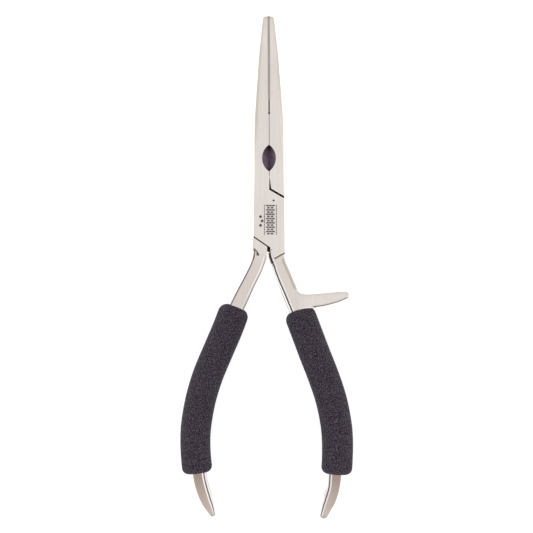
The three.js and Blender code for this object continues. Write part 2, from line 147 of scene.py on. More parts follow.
# Handles, from the joint down: x, y, half width, half thickness.
LEFT_BAR = [
    (-3.6, -12.5, 3.2, 2.9),
    (-3.95, -15.8, 3.1, 2.7),
    (-4.45, -18.5, 3.0, 2.75),
    (-5.35, -21.2, 2.98, 2.95),
    (-6.5, -24.0, 3.05, 3.1),
    (-9.2, -29.4, 3.08, 3.15),
    (-11.9, -34.9, 3.3, 3.0),
    (-14.8, -41.0, 3.35, 2.8),
    (-18.8, -50.3, 3.3, 2.5),
    (-27.4, -72.0, 3.3, 2.5),
    (-32.5, -94.1, 3.3, 2.5),
    (-32.8, -105.3, 3.3, 2.5),
    (-31.6, -117.0, 3.25, 2.5),
    (-30.3, -123.3, 3.25, 2.4),
    (-28.4, -128.8, 3.0, 2.2),
    (-26.95, -132.2, 2.4, 2.0),
    (-25.85, -135.1, 1.5, 1.8),
]
RIGHT_BAR = [
    (4.1, -12.5, 3.0, 2.9),
    (3.4, -15.8, 3.75, 2.7),
    (3.65, -18.5, 3.45, 2.7),
    (4.55, -21.2, 3.25, 2.9),
    (5.5, -24.0, 3.5, 2.95),
    (7.6, -29.4, 3.7, 2.95),
    (9.8, -34.9, 3.7, 2.92),
    (12.1, -41.0, 3.5, 2.9),
    (15.8, -50.6, 3.4, 2.5),
    (24.1, -72.5, 3.3, 2.5),
    (29.6, -94.3, 3.3, 2.5),
    (30.4, -105.3, 3.3, 2.5),
    (29.7, -117.0, 3.3, 2.5),
    (29.05, -123.3, 3.15, 2.4),
    (27.45, -128.8, 3.1, 2.2),
    (26.2, -131.9, 2.7, 2.0),
    (24.95, -135.5, 2.05, 1.8),
]
# Finger spur: x, lower y, upper y, half thickness.
SPUR = [
    (9.3, -39.2, -31.2, 2.902),
    (11.5, -40.9, -32.0, 2.898),
    (14.3, -41.95, -34.2, 2.89),
    (15.5, -41.8, -34.6, 2.88),
    (17.5, -41.5, -34.8, 2.82),
    (21.0, -41.0, -34.6, 2.7),
    (25.5, -40.35, -34.2, 2.5),
    (31.4, -38.8, -33.7, 2.2),
    (34.6, -37.45, -33.6, 2.1),
    (36.1, -36.7, -33.9, 1.9),
    (36.5, -36.2, -34.5, 1.5),
]
# Foam grips, from the top end down: x, y, radius.
LEFT_GRIP = [
    (-15.2, -40.5, 7.07),
    (-18.9, -50.4, 7.07),
    (-23.6, -61.4, 7.07),
    (-28.1, -72.3, 7.07),
    (-31.35, -83.2, 7.02),
    (-33.3, -94.2, 6.99),
    (-33.75, -102.5, 6.92),
    (-33.35, -110.6, 6.92),
    (-32.6, -116.7, 7.02),
]
RIGHT_GRIP = [
    (13.2, -41.85, 7.15),
    (16.45, -50.4, 7.15),
    (20.6, -61.4, 7.18),
    (24.85, -72.3, 7.2),
    (28.45, -83.2, 7.2),
    (30.65, -94.2, 7.2),
    (31.3, -102.5, 7.18),
    (31.2, -110.6, 7.12),
    (30.75, -117.2, 7.15),
]
GRIP_TOP_ROUND = 4.1
GRIP_LOW_ROUND = 3.1
GRIP_ROUND_STEPS = 10
GRIP_GAP = 0.05  # between the foam and the tang inside it
GRIP_SKIN = 0.03  # keeps the round sleeve inside the faceted one
GRIP_SIDES = 88
GRIP_STEP = 0.55
GRIP_TOP_CUT = ((-60.0, -51.954), (80.0, -33.194))  # along the lower edge of the spur

# ---------------------------------------------------------------- mesh helpers

SOFTENED_ANGLE = 32  # degrees


def new_object(name, verts, faces):
    mesh = bpy.data.meshes.new(name)
    mesh.from_pydata([(x * MM, y * MM, z * MM) for x, y, z in verts], [], faces)
    mesh.update()
    obj = bpy.data.objects.new(name, mesh)
    bpy.context.scene.collection.objects.link(obj)
    return obj


def loft(name, rings, tags=None):
    """A closed mesh through rings of points. tags gives each strip its material slot."""
    sides = len(rings[0])
    verts = [p for ring in rings for p in ring]
    faces = []
    for r in range(len(rings) - 1):
        for s in range(sides):
            a = r * sides + s
            b = r * sides + (s + 1) % sides
            faces.append((a, a + sides, b + sides, b))
    last = (len(rings) - 1) * sides
    faces.append(tuple(range(sides)))
    faces.append(tuple(last + s for s in reversed(range(sides))))
    obj = new_object(name, verts, faces)
    if tags:
        slots = [tag for r in range(len(rings) - 1) for tag in tags[r]] + [STEEL, STEEL]
        obj.data.polygons.foreach_set("material_index", slots)
    return obj


def prism(name, points, low, high):
    """An outline, in either direction, raised from low to high."""
    count = len(points)
    area = sum(
        points[k][0] * points[(k + 1) % count][1] - points[(k + 1) % count][0] * points[k][1]
        for k in range(count)
    )
    if area < 0:
        points = list(reversed(points))
    verts = [(x, y, low) for x, y in points] + [(x, y, high) for x, y in points]
    faces = [tuple(reversed(range(count))), tuple(range(count, 2 * count))]
    for k in range(count):
        nxt = (k + 1) % count
        faces.append((k, nxt, nxt + count, k + count))
    return new_object(name, verts, faces)


def disc_points(radius, sides, centre=(0.0, 0.0)):
    return [
        (
            centre[0] + radius * math.cos(2 * math.pi * k / sides),
            centre[1] + radius * math.sin(2 * math.pi * k / sides),
        )
        for k in range(sides)
    ]


def through(name, points):
    """An outline as a prism that runs past both faces of the object."""
    return prism(name, points, UNDER, OVER)


def middle(name, points, clearance):
    """An outline as a layer between the cheeks."""
    return prism(name, points, CHEEK + clearance, JOINT_THICK - CHEEK - clearance)


def bake_modifiers(obj):
    graph = bpy.context.evaluated_depsgraph_get()
    mesh = bpy.data.meshes.new_from_object(obj.evaluated_get(graph))
    obj.modifiers.clear()
    old = obj.data
    obj.data = mesh
    bpy.data.meshes.remove(old)


def drop(obj):
    mesh = obj.data
    bpy.data.objects.remove(obj)
    bpy.data.meshes.remove(mesh)


def boolean(obj, other, operation, keep=False):
    """Joins other to obj or cuts obj with it. The other is used up unless it is kept."""
    cut = obj.modifiers.new("cut", "BOOLEAN")
    cut.operation = operation
    cut.solver = "EXACT"
    cut.object = other
    bake_modifiers(obj)
    if not keep:
        drop(other)


def cut_faces(obj, points, height):
    """Cuts an outline out of both faces, down to a height from mid-thickness."""
    for low, high in ((UNDER, MID_Z - height), (MID_Z + height, OVER)):
        boolean(obj, prism("cutter", points, low, high), "DIFFERENCE")


def copy_of(obj, name):
    twin = bpy.data.objects.new(name, obj.data.copy())
    bpy.context.scene.collection.objects.link(twin)
    return twin


def smooth(obj, degrees):
    obj.data.polygons.foreach_set("use_smooth", [True] * len(obj.data.polygons))
    obj.data.set_sharp_from_angle(angle=math.radians(degrees))


def soften_edges(obj, width):
    """A fine bevel on every edge sharper than SOFTENED_ANGLE."""
    edge = obj.modifiers.new("edge", "BEVEL")
    edge.width = width * MM
    edge.segments = 2
    edge.limit_method = "ANGLE"
    edge.angle_limit = math.radians(SOFTENED_ANGLE)
    edge.miter_outer = "MITER_ARC"
    edge.harden_normals = False
    edge.use_clamp_overlap = True
    bake_modifiers(obj)


# ---------------------------------------------------------------- curves and sections


def row_at(values, t):
    """The last row of numbers before t, from 0 to 1, and how far t is on the way to the next."""
    spans = len(values) - 1
    place = min(max(t, 0.0), 1.0) * spans
    k = min(int(place), spans - 1)
    return k, place - k


def spline(values, t):
    """A smooth curve through rows of numbers, t from 0 to 1."""
    k, f = row_at(values, t)
    p1, p2 = values[k], values[k + 1]
    p0 = values[k - 1] if k > 0 else tuple(2 * a - b for a, b in zip(p1, p2))
    p3 = values[k + 2] if k + 2 < len(values) else tuple(2 * b - a for a, b in zip(p1, p2))
    return tuple(
        0.5 * (2 * b + (c - a) * f + (2 * a - 5 * b + 4 * c - d) * f * f
               + (3 * b - a - 3 * c + d) * f ** 3)
        for a, b, c, d in zip(p0, p1, p2, p3)
    )


def straight(values, t):
    """Straight from row to row, t from 0 to 1."""
    k, f = row_at(values, t)
    return tuple(a + (b - a) * f for a, b in zip(values[k], values[k + 1]))


def heading(values, t):
    """The direction of a curve through x, y rows at t, as a unit vector."""
    step = 0.002
    a = spline(values, t - step) if t > step else spline(values, 0.0)
    b = spline(values, t + step) if t < 1 - step else spline(values, 1.0)
    dx, dy = b[0] - a[0], b[1] - a[1]
    size = math.hypot(dx, dy)
    return dx / size, dy / size


ROUNDING_STEPS = 6
ROUNDING_FALL = 0.5  # of the rounding's width
MOST_FALL = 0.7  # of the half thickness


def rounded_edge(half_width, half_thick, width, side):
    """From the flat face to the side wall, on the side that has the sign of side."""
    fall = min(width * ROUNDING_FALL, half_thick * MOST_FALL)
    points = []
    for k in range(ROUNDING_STEPS + 1):
        turn = k / ROUNDING_STEPS * math.pi / 2
        across = side * (half_width - width * (1 - math.sin(turn)))
        points.append((across, half_thick - fall * (1 - math.cos(turn))))
    return points


def nose_section(half_width, half_thick, width):
    """A flat bar with its four long edges rounded over a width."""
    left_top = rounded_edge(half_width, half_thick, width, -1)
    top = list(reversed(left_top)) + rounded_edge(half_width, half_thick, width, 1)
    return top + [(a, -h) for a, h in reversed(top)]


def place_section(section, at, direction):
    """Stands a section of (across, height) points across a direction in the plane."""
    ax, ay = -direction[1], direction[0]
    return [(at[0] + ax * a, at[1] + ay * a, MID_Z + h) for a, h in section]


# Material slots of the forgings, in the order of FORGING_SLOTS.
STEEL, GAP, POLISHED_HIGHLIGHT, TAIL, HOLLOW, WARM_SHEEN, PAINTED_SHADE, SHADED_BAND = range(8)

# The inner long edge of a handle, from its flat face to its side wall: distance from the side,
# fall below the face, and the slot of the strip that starts there.
# Its bright strips are polished and lighter as a painted highlight; its two dark strips, the walls
# of a narrow groove, are painted shade.
INNER_EDGE = [
    (2.4, 0.0, POLISHED_HIGHLIGHT),
    (1.95, 0.02, POLISHED_HIGHLIGHT),
    (1.72, 0.14, GAP),
    (1.66, 0.62, GAP),
    (1.15, 0.6, POLISHED_HIGHLIGHT),
    (0.75, 0.64, POLISHED_HIGHLIGHT),
    (0.4, 0.82, POLISHED_HIGHLIGHT),
    (0.12, 1.15, POLISHED_HIGHLIGHT),
    (0.0, 1.5, POLISHED_HIGHLIGHT),
]
LINE_END = 1.15  # from the side to the near edge of the dark line, a narrow groove whose walls are painted shade
# The same edge on the left handle above its tail, where no line is cut. Its bright strip is a
# painted highlight, and the strips by the side wall are painted shade.
PLAIN_INNER_EDGE = [
    (2.4, 0.0, STEEL),
    (1.95, 0.02, STEEL),
    (1.72, 0.04, STEEL),
    (1.55, 0.06, STEEL),
    (1.3, 0.1, POLISHED_HIGHLIGHT),
    (0.95, 0.16, STEEL),
    (0.36, 0.34, PAINTED_SHADE),
    (0.08, 0.55, PAINTED_SHADE),
    (0.0, 1.5, STEEL),
]
# Its dark strips are painted shade.
LEFT_OUTER_EDGE = [
    (0.8, 0.0, STEEL),
    (0.62, 0.04, PAINTED_SHADE),
    (0.12, 0.38, PAINTED_SHADE),
    (0.03, 0.5, STEEL),
    (0.0, 0.7, STEEL),
]
# Its three middle strips are a band of painted shade.
RIGHT_OUTER_EDGE = [
    (2.1, 0.0, STEEL),
    (1.5, 0.05, SHADED_BAND),
    (0.95, 0.16, SHADED_BAND),
    (0.4, 0.45, SHADED_BAND),
    (0.0, 1.5, STEEL),
]
TAIL_OUTER_EDGE = [
    (0.8, 0.0, TAIL),
    (0.62, 0.04, TAIL),
    (0.3, 0.18, TAIL),
    (0.06, 0.5, TAIL),
    (0.0, 0.8, TAIL),
]
FULL_EDGE_HALF_WIDTH = 3.0  # on a bar narrower than this the edges shrink with it
FULL_EDGE_HALF_THICK = 2.2  # and on a thinner one they are shallower
TAIL_Y = -100.0  # below this the face is blasted
SHADED_ABOVE_Y = -19.6  # above this the left-hand edges of both arms are painted with shade
SHADED_WIDTH = 1.7
CROTCH_EDGE_SHARE = 0.4  # of LINE_END that is left at the crotch, on the right arm
CROTCH_EDGE_FROM = -17.0
CROTCH_EDGE_TO = -33.0
TAIL_END_TURN = 84  # degrees of the round end of a tail
TAIL_END_STEPS = 8
TAIL_END_SHORT = 0.01  # keeps it inside the CAD model's
TAIL_END_THICK = 0.5  # of the tail's thickness, where its round end closes


def inner_edge(inner_side, y, has_line):
    """The inner edge of a handle at y. On the right arm it narrows towards the crotch."""
    if inner_side > 0:
        return INNER_EDGE if has_line else PLAIN_INNER_EDGE
    share = (CROTCH_EDGE_FROM - y) / (CROTCH_EDGE_FROM - CROTCH_EDGE_TO)
    narrow = CROTCH_EDGE_SHARE + (1.0 - CROTCH_EDGE_SHARE) * min(max(share, 0.0), 1.0)
    return [
        (min(inset, LINE_END) * narrow + max(inset - LINE_END, 0.0), fall, slot)
        for inset, fall, slot in INNER_EDGE
    ]


def outer_edge(inner_side, y):
    if y < TAIL_Y:
        return TAIL_OUTER_EDGE
    return LEFT_OUTER_EDGE if inner_side > 0 else RIGHT_OUTER_EDGE


def strip_slot(slot, side, inset, y):
    """The slot of a strip of a handle's edge, after where it lies."""
    # A groove's walls are painted shade, less dark on the tails.
    if slot == GAP:
        return HOLLOW if y < TAIL_Y else GAP
    if side < 0 and y > SHADED_ABOVE_Y and inset < SHADED_WIDTH:
        return PAINTED_SHADE
    return slot


def handle_section(half_width, half_thick, inner_side, grow, y, has_line):
    """The section of a handle and the slot of each of its strips."""
    scale = min(1.0, half_width / FULL_EDGE_HALF_WIDTH)
    deep = min(1.0, half_thick / FULL_EDGE_HALF_THICK)
    edges = {
        inner_side: inner_edge(inner_side, y, has_line),
        -inner_side: outer_edge(inner_side, y),
    }
    left, right = (
        [
            (
                side * (half_width + grow - inset * scale),
                half_thick + grow - fall * deep,
                strip_slot(slot, side, inset, y),
            )
            for inset, fall, slot in edges[side]
        ]
        for side in (-1, 1)
    )
    top = list(reversed(left)) + right
    points = [(a, h) for a, h, _ in top] + [(a, -h) for a, h, _ in reversed(top)]
    left_strips = [slot for _, _, slot in reversed(left[:-1])]
    right_strips = [slot for _, _, slot in right[:-1]]
    upper = left_strips + [TAIL if y < TAIL_Y else STEEL] + right_strips
    return points, upper + [STEEL] + list(reversed(upper)) + [STEEL]


def handle_bar(name, stations, inner_side, per_span=8, grow=0.0, line_from=0.0):
    """A handle from the joint to its tail, with the dark line below line_from: a groove painted
    with shade.
    """
    places = [(x, y) for x, y, _, _ in stations]
    sizes = [(w, h) for _, _, w, h in stations]

    def ring(t, shrink, along):
        half_width, half_thick = spline(sizes, t)
        direction = heading(places, t)
        x, y = spline(places, t)
        points, tags = handle_section(
            half_width * shrink,
            half_thick * (TAIL_END_THICK + (1.0 - TAIL_END_THICK) * shrink),
            inner_side,
            grow,
            y,
            y < line_from,
        )
        at = (x + direction[0] * along, y + direction[1] * along)
        return place_section(points, at, direction), tags

    count = (len(stations) - 1) * per_span
    made = [ring(k / count, 1.0, 0.0) for k in range(count + 1)]
    length = sizes[-1][0] - TAIL_END_SHORT
    for k in range(1, TAIL_END_STEPS + 1):
        turn = k / TAIL_END_STEPS * math.radians(TAIL_END_TURN)
        made.append(ring(1.0, math.cos(turn), length * math.sin(turn)))
    return loft(name, [points for points, _ in made], [tags for _, tags in made])


# ---------------------------------------------------------------- outlines


def on_line(line, x):
    """The point of a line at x."""
    (x0, y0), (x1, y1) = line
    return x, y0 + (x - x0) * (y1 - y0) / (x1 - x0)


def shift_line(line, distance):
    """The line moved away from the pivot by a distance."""
    (x0, y0), (x1, y1) = line
    size = math.hypot(x1 - x0, y1 - y0)
    nx, ny = (y1 - y0) / size, (x0 - x1) / size
    if nx * x0 + ny * y0 < 0:
        nx, ny = -nx, -ny
    return (x0 + nx * distance, y0 + ny * distance), (x1 + nx * distance, y1 + ny * distance)


def seam_x(y):
    """Where the seam between the jaws is, at y."""
    share = (y - SEAM_LOW[1]) / (SEAM_TOP[1] - SEAM_LOW[1])
    return SEAM_LOW[0] + max(0.0, share) * (SEAM_TOP[0] - SEAM_LOW[0])


def jaw_edge(side, seam_gap=SEAM_GAP, teeth_gap=SEAM_GAP, relief_width=SEAM_GAP, notch=0.0):
    """The edge of one jaw along the seam, from beyond the tip down past the cutters."""
    gap = side * seam_gap / 2
    relief = side * relief_width / 2
    pitch = (SEAM_TOP[1] + TEETH_PAST_TIP - TEETH_LOW_Y) / TEETH
    edge = [(seam_x(FAR), FAR)]
    for k in range(2 * TEETH, -1, -1):
        y = TEETH_LOW_Y + k * pitch / 2
        tooth = (-0.5 if k % 2 == 0 else 0.5) * TOOTH_HEIGHT
        root = side * notch if side * tooth > 0 else 0.0
        edge.append((seam_x(y) + tooth + root + side * teeth_gap / 2, y))
    edge.append((seam_x(TEETH_LOW_Y) + relief, TEETH_LOW_Y - TEETH_END_STEP))
    edge.append((seam_x(RELIEF_LOW_Y) + relief, RELIEF_LOW_Y))
    edge.append((seam_x(RELIEF_LOW_Y) + gap, RELIEF_LOW_Y))
    edge.append((SEAM_LOW[0] + gap, SEAM_LOW[1]))
    return edge


ALMOND_STEPS = 28


def almond(inset):
    """The opening for the cutters, two arcs that meet in points, made smaller by inset."""
    half_width = CUTTER_HALF_WIDTH - inset
    half_length = CUTTER_HALF_LENGTH - 2 * inset
    radius = (half_length ** 2 + half_width ** 2) / (2 * half_width)
    reach = math.asin(half_length / radius)
    offset = radius - half_width
    points = []
    for side in (1, -1):
        for k in range(ALMOND_STEPS):
            turn = -reach + 2 * reach * k / ALMOND_STEPS
            points.append((
                CUTTER_MID[0] + side * (radius * math.cos(turn) - offset),
                CUTTER_MID[1] + side * radius * math.sin(turn),
            ))
    return points


# ---------------------------------------------------------------- material helpers


def material(name):
    mat = bpy.data.materials.new(name)
    mat.use_nodes = True
    tree = mat.node_tree
    return mat, tree, tree.nodes["Principled BSDF"]


def node(tree, kind, **values):
    made = tree.nodes.new(kind)
    for key, value in values.items():
        setattr(made, key, value)
    return made


def object_coords(tree):
    return node(tree, "ShaderNodeTexCoord").outputs["Object"]


def axis(tree, coords, name):
    """One of the object's coordinates: X, Y or Z."""
    parts = node(tree, "ShaderNodeSeparateXYZ")
    tree.links.new(coords, parts.inputs["Vector"])
    return parts.outputs[name]


def noise(tree, coords, scale, detail, stretch=(1, 1, 1)):
    mapping = node(tree, "ShaderNodeMapping")
    mapping.inputs["Scale"].default_value = stretch
    tree.links.new(coords, mapping.inputs["Vector"])
    tex = node(tree, "ShaderNodeTexNoise")
    tex.inputs["Scale"].default_value = scale
    tex.inputs["Detail"].default_value = detail
    tree.links.new(mapping.outputs["Vector"], tex.inputs["Vector"])
    return tex.outputs["Fac"]


def ramp(tree, value, stops):
    made = node(tree, "ShaderNodeValToRGB")
    elements = made.color_ramp.elements
    while len(elements) < len(stops):
        elements.new(0.5)
    for element, (place, colour) in zip(elements, stops):
        element.position = place
        element.color = (*colour, 1.0)
    tree.links.new(value, made.inputs["Fac"])
    return made.outputs["Color"]


def span(tree, value, source, target):
    """Maps a range of a value to another range, and holds it at both ends."""
    made = node(tree, "ShaderNodeMapRange")
    made.inputs["From Min"].default_value, made.inputs["From Max"].default_value = source
    made.inputs["To Min"].default_value, made.inputs["To Max"].default_value = target
    tree.links.new(value, made.inputs["Value"])
    return made.outputs["Result"]


def product(tree, a, b):
    made = node(tree, "ShaderNodeMath", operation="MULTIPLY")
    tree.links.new(a, made.inputs[0])
    tree.links.new(b, made.inputs[1])
    return made.outputs["Value"]


def mix_colour(tree, factor, a, b, blend="MIX"):
    made = node(tree, "ShaderNodeMix", data_type="RGBA", blend_type=blend)
    for value, socket in ((factor, made.inputs[0]), (a, made.inputs[6]), (b, made.inputs[7])):
        if isinstance(value, (int, float)):
            socket.default_value = value
        elif isinstance(value, tuple):
            socket.default_value = (*value, 1.0)
        else:
            tree.links.new(value, socket)
    return made.outputs[2]


def bump(tree, shader, height, strength, distance, previous=None):
    """Bumps of a height in millimetres, on top of the previous ones."""
    made = node(tree, "ShaderNodeBump")
    made.inputs["Strength"].default_value = strength
    made.inputs["Distance"].default_value = distance * MM
    tree.links.new(height, made.inputs["Height"])
    if previous is not None:
        tree.links.new(previous, made.inputs["Normal"])
    tree.links.new(made.outputs["Normal"], shader.inputs["Normal"])
    return made.outputs["Normal"]


# ---------------------------------------------------------------- materials

WHITE = (1.0, 1.0, 1.0)
MIDDLE = (0.3, 0.7)  # where most of a noise's values lie
NONE_TO_ALL = (0.0, 1.0)
# Where colours change, in metres.
ARMS_BELOW_Y = (-0.015, -0.021)
ARMS_LEFT_OF_X = (0.018, 0.0125)
TAIL_ENDS_BELOW_Y = (-0.119, -0.135)
CUTTER_DARK_ABOVE_Y = (0.0275, 0.0325)
CUTTER_DARK_SHARE = 0.75


def steel_material(name, base, roughness, arms=None, tail_ends=None):
    """Satin steel. The arms below the joint and the ends of the tails can have other colours."""
    mat, tree, shader = material(name)
    coords = object_coords(tree)
    if arms:
        below = span(tree, axis(tree, coords, "Y"), ARMS_BELOW_Y, NONE_TO_ALL)
        beside = span(tree, axis(tree, coords, "X"), ARMS_LEFT_OF_X, NONE_TO_ALL)
        base = mix_colour(tree, product(tree, below, beside), base, arms)
    if tail_ends:
        share = span(tree, axis(tree, coords, "Y"), TAIL_ENDS_BELOW_Y, NONE_TO_ALL)
        base = mix_colour(tree, share, base, tail_ends)
    grain = noise(tree, coords, scale=900.0, detail=3.0, stretch=(1.0, 0.06, 1.0))
    cloud = noise(tree, coords, scale=60.0, detail=3.0)
    pits = noise(tree, coords, scale=2600.0, detail=2.0)
    shade = ramp(tree, cloud, [(0.3, (0.93, 0.925, 0.92)), (0.7, WHITE)])
    colour = mix_colour(tree, 1.0, base, shade, "MULTIPLY")
    streak = ramp(tree, grain, [(0.25, (0.95, 0.945, 0.94)), (0.75, WHITE)])
    colour = mix_colour(tree, 1.0, colour, streak, "MULTIPLY")
    tree.links.new(colour, shader.inputs["Base Color"])
    shader.inputs["Metallic"].default_value = 1.0
    rough = span(tree, cloud, MIDDLE, (roughness - 0.03, roughness + 0.05))
    tree.links.new(rough, shader.inputs["Roughness"])
    first = bump(tree, shader, grain, strength=0.10, distance=0.03)
    bump(tree, shader, pits, strength=0.06, distance=0.02, previous=first)
    return mat


def gap_material():
    """Painted shade: a near-black colour for the inside of a narrow gap, where hardly any light
    gets in.
    """
    mat = steel_material("shaded_gap", (0.04, 0.018, 0.03), 0.6)
    shader = mat.node_tree.nodes["Principled BSDF"]
    shader.inputs["Metallic"].default_value = 0.0
    shader.inputs["Specular IOR Level"].default_value = 0.1
    return mat


def cutter_material():
    mat, tree, shader = material("dark_cutter_steel")
    coords = object_coords(tree)
    grain = noise(tree, coords, scale=1400.0, detail=3.0, stretch=(0.1, 1.0, 0.1))
    cloud = noise(tree, coords, scale=300.0, detail=3.0)
    colour = ramp(tree, cloud, [(0.3, (0.155, 0.11, 0.15)), (0.7, (0.31, 0.23, 0.30))])
    upper = span(tree, axis(tree, coords, "Y"), CUTTER_DARK_ABOVE_Y, (0.0, CUTTER_DARK_SHARE))
    colour = mix_colour(tree, upper, colour, (0.05, 0.035, 0.05))
    tree.links.new(colour, shader.inputs["Base Color"])
    shader.inputs["Metallic"].default_value = 0.5
    tree.links.new(span(tree, grain, MIDDLE, (0.45, 0.6)), shader.inputs["Roughness"])
    bump(tree, shader, grain, strength=0.25, distance=0.05)
    return mat


def foam_material():
    mat, tree, shader = material("black_foam")
    coords = object_coords(tree)
    cells = node(tree, "ShaderNodeTexVoronoi", feature="F1")
    cells.inputs["Scale"].default_value = 1500.0
    tree.links.new(coords, cells.inputs["Vector"])
    pores = noise(tree, coords, scale=2200.0, detail=3.0)
    cloud = noise(tree, coords, scale=90.0, detail=4.0)
    colour = ramp(tree, pores, [
        (0.38, (0.010, 0.0062, 0.010)),
        (0.5, (0.039, 0.029, 0.044)),
        (0.63, (0.115, 0.090, 0.124)),
    ])
    shade = ramp(tree, cloud, [(0.3, (0.92, 0.92, 0.92)), (0.7, WHITE)])
    colour = mix_colour(tree, 1.0, colour, shade, "MULTIPLY")
    tree.links.new(colour, shader.inputs["Base Color"])
    shader.inputs["Metallic"].default_value = 0.0
    shader.inputs["Specular IOR Level"].default_value = 0.25
    tree.links.new(span(tree, pores, MIDDLE, (0.95, 0.75)), shader.inputs["Roughness"])
    first = bump(tree, shader, cells.outputs["Distance"], strength=0.5, distance=0.12)
    bump(tree, shader, pores, strength=0.6, distance=0.18, previous=first)
    return mat


def mark_material():
    mat, tree, shader = material("etched_dark")
    grain = noise(tree, object_coords(tree), scale=2500.0, detail=3.0)
    colour = ramp(tree, grain, [(0.35, (0.04, 0.026, 0.036)), (0.65, (0.13, 0.10, 0.12))])
    tree.links.new(colour, shader.inputs["Base Color"])
    shader.inputs["Metallic"].default_value = 0.3
    tree.links.new(span(tree, grain, MIDDLE, (0.6, 0.8)), shader.inputs["Roughness"])
    bump(tree, shader, grain, strength=0.2, distance=0.03)
    return mat


def floor_material():
    mat, _, shader = material("pale_floor")
    shader.inputs["Base Color"].default_value = (0.9, 0.9, 0.9, 1.0)
    shader.inputs["Roughness"].default_value = 0.9
    shader.inputs["Emission Color"].default_value = (1.0, 1.0, 1.0, 1.0)
    shader.inputs["Emission Strength"].default_value = 0.57
    return mat


FORGING_SLOTS = (
    steel_material("satin_steel", (0.76, 0.708, 0.67), 0.2, arms=(0.70, 0.64, 0.60)),
    gap_material(),
    # A polished finish whose lighter colour is a painted highlight.
    steel_material("polished_highlight_edge", (0.91, 0.885, 0.86), 0.12),
    # The tails' blasted finish, also used below each cheek's end as painted shade.
    steel_material("blasted_tail_and_ramp_shade", (0.43, 0.335, 0.275), 0.34, tail_ends=(0.70, 0.60, 0.53)),
    steel_material("shaded_hollow", (0.20, 0.15, 0.19), 0.45),
    # A painted warm sheen for rounded edges.
    steel_material("painted_warm_sheen_edge", (0.85, 0.775, 0.69), 0.2),
    # Painted shade for edges turned away from the light.
    steel_material("painted_shade_edge", (0.30, 0.215, 0.20), 0.3),
    # A band of painted shade along an edge.
    steel_material("painted_shade_band", (0.60, 0.52, 0.455), 0.3),
)


def wear_slots(obj):
    for mat in FORGING_SLOTS:
        obj.data.materials.append(mat)


def dress(obj, mat):
    obj.data.materials.clear()
    obj.data.materials.append(mat)


# ---------------------------------------------------------------- blanks of the forgings

CHEEK_CORNER = UPPER_CUT[0]
CROTCH_CORNER = LOWER_CUT[1]
SHOULDER = shift_line(UPPER_CUT, UPPER_CUT_GAP)
LUG_TOP = shift_line(LOWER_CUT, LOWER_CUT_GAP)


def nose_blank():
    """The outside of the jaws and the joint, from which both forgings are cut."""
    count = (len(NOSE) - 1) * NOSE_PER_SPAN
    rings = []
    for k in range(count + 1):
        t = k / count
        curve = spline if t < NOSE_CURVED_SHARE else straight
        y, half_width, half_thick, rounding = curve(NOSE, t)
        share = min(max((y - SEAM_LOW[1]) / (SEAM_TOP[1] - SEAM_LOW[1]), 0.0), 1.0)
        section = nose_section(half_width, half_thick, rounding)
        rings.append(place_section(section, (NOSE_LEAN * share, y), (0.0, -1.0)))
    blank = loft("nose", rings)
    wear_slots(blank)
    return blank


def right_arm():
    """The right handle, cut to the crotch."""
    arm = handle_bar("right_bar", RIGHT_BAR, -1)
    wear_slots(arm)
    boolean(arm, through("cutter", [
        (CROTCH_CORNER[0], 0.0),
        CROTCH_CORNER,
        *RIGHT_CROTCH,
        (RIGHT_CROTCH[-1][0], -FAR),
        (FAR, -FAR),
        (FAR, 0.0),
    ]), "INTERSECT")
    return arm


def left_arm():
    """The left handle, cut to the lower slanted gap and the crotch."""
    arm = handle_bar("left_bar", LEFT_BAR, 1, line_from=TAIL_Y)
    wear_slots(arm)
    boolean(arm, through("cutter", [
        on_line(LUG_TOP, CROTCH_LEFT),
        on_line(LUG_TOP, -SIDE),
        (-FAR, on_line(LUG_TOP, -SIDE)[1]),
        (-FAR, -FAR),
        (LEFT_ARM_TOP[0][0], -FAR),
        *LEFT_ARM_TOP,
        (CROTCH_LEFT, LUG_LOW_Y),
    ]), "INTERSECT")
    return arm


# The spur's lower and upper edges: distance from the edge, fall, and the slot of the next strip.
# The lower edge has a polished strip with a painted highlight and a strip of painted shade.
SPUR_LOW_EDGE = [
    (0.0, 1.3, POLISHED_HIGHLIGHT),
    (0.1, 0.7, POLISHED_HIGHLIGHT),
    (0.32, 0.4, PAINTED_SHADE),
    (0.72, 0.26, STEEL),
    (1.1, 0.0, STEEL),
]
# The upper edge's strips have a painted warm sheen.
SPUR_TOP_EDGE = [(0.6, 0.0, WARM_SHEEN), (0.35, 0.08, WARM_SHEEN), (0.1, 0.3, WARM_SHEEN), (0.0, 0.6, STEEL)]
SPUR_PER_SPAN = 5
SPUR_FULL_HEIGHT = 4.0  # where it is lower than this the edges shrink with it
SPUR_ROOT_X = 19.5  # left of this the lower edge is nearly flat, and painted bright as a highlight
SPUR_ROOT_FALL = 0.12  # of the fall further out


def finger_spur():
    """The flat spur, lofted outwards from its root inside the right arm."""
    count = (len(SPUR) - 1) * SPUR_PER_SPAN
    rings = []
    tags = []
    for k in range(count + 1):
        x, low, high, half_thick = spline(SPUR, k / count)
        at_root = x < SPUR_ROOT_X
        fit = min(1.0, (high - low) / SPUR_FULL_HEIGHT)
        slope = SPUR_ROOT_FALL if at_root else 1.0
        top = [(low + d * fit, half_thick - fall * slope, slot) for d, fall, slot in SPUR_LOW_EDGE]
        top += [(high - d * fit, half_thick - fall, slot) for d, fall, slot in SPUR_TOP_EDGE]
        section = [(a, h) for a, h, _ in top] + [(a, -h) for a, h, _ in reversed(top)]
        # Near the root the strip of painted shade is swapped for a painted highlight.
        strips = [POLISHED_HIGHLIGHT if slot == PAINTED_SHADE and at_root else slot for _, _, slot in top]
        tags.append(strips + list(reversed(strips[:-1])) + [STEEL])
        rings.append(place_section(section, (x, 0.0), (1.0, 0.0)))
    spur = loft("spur", rings, tags)
    wear_slots(spur)
    return spur


